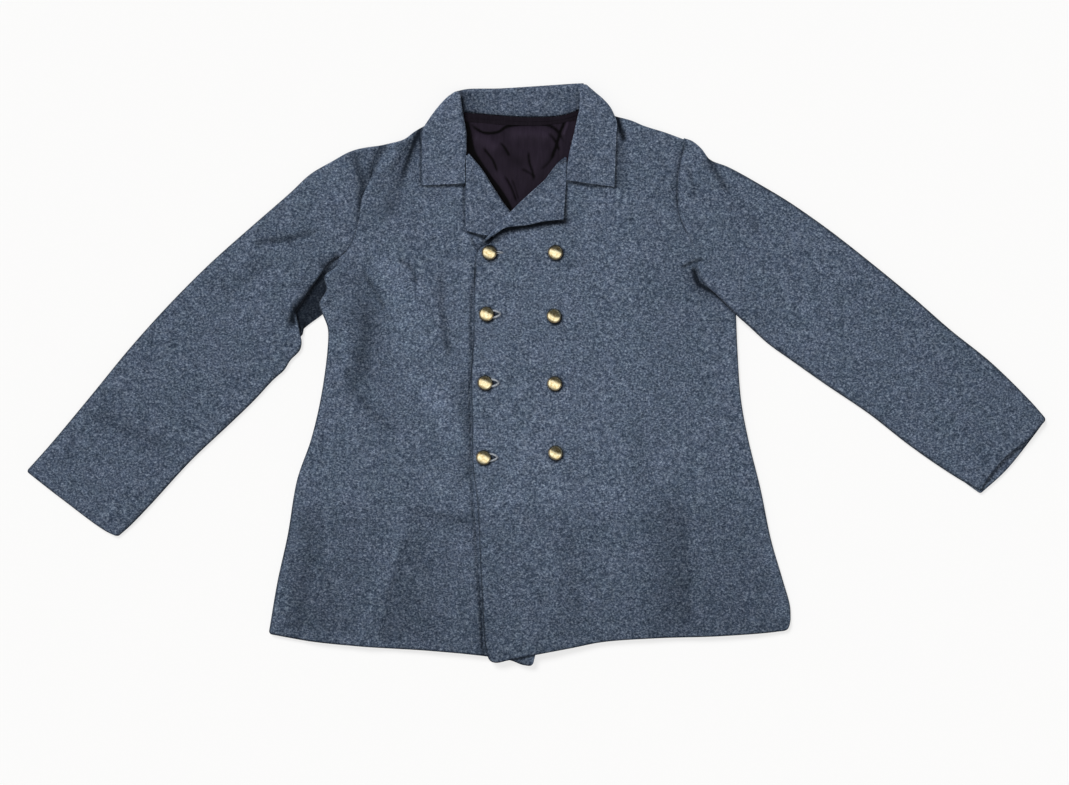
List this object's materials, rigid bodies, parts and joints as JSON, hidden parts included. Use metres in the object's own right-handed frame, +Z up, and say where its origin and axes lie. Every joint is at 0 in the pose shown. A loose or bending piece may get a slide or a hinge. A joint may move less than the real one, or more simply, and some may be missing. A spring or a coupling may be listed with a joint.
{
  "type": "double-breasted wool sack coat laid flat",
  "caption": "Hip-length double-breasted sack coat in heathered blue-grey wool with turned lapels, wide collar, satin-lined neck and domed brass buttons, laid flat.",
  "frame": {"origin": "middle of the laid-out coat's outline, on the surface it lies on", "axes": "+X to the wearer's left sleeve, +Y to the collar, +Z up from the surface, through the front"},
  "size_m": [1.397, 0.7988, 0.0244],
  "materials": {
    "wool": "heathered blue-grey fulled wool, short matt nap",
    "collar_wool": "the same wool on collar and lapels, pressed",
    "satin": "dark plum satin lining with a soft sheen",
    "neck_cloth": "dark plain-weave neck facing",
    "brass": "plain domed brass, worn polish"
  },
  "bodies": {
    "root": {"front_right": "wool", "front_left": "wool", "back": "wool", "sleeve_top_right": "wool", "sleeve_top_left": "wool", "sleeve_under_right": "wool", "sleeve_under_left": "wool", "back_lining": "satin", "neck_facing": "neck_cloth", "collar_stand": "collar_wool", "collar_fall": "collar_wool", "lapel_right": "collar_wool", "lapel_left": "collar_wool", "button_1_right": "brass", "button_2_right": "brass", "button_3_right": "brass", "button_4_right": "brass", "button_1_left": "brass", "button_2_left": "brass", "button_3_left": "brass", "button_4_left": "brass"}
  },
  "joints": []
}
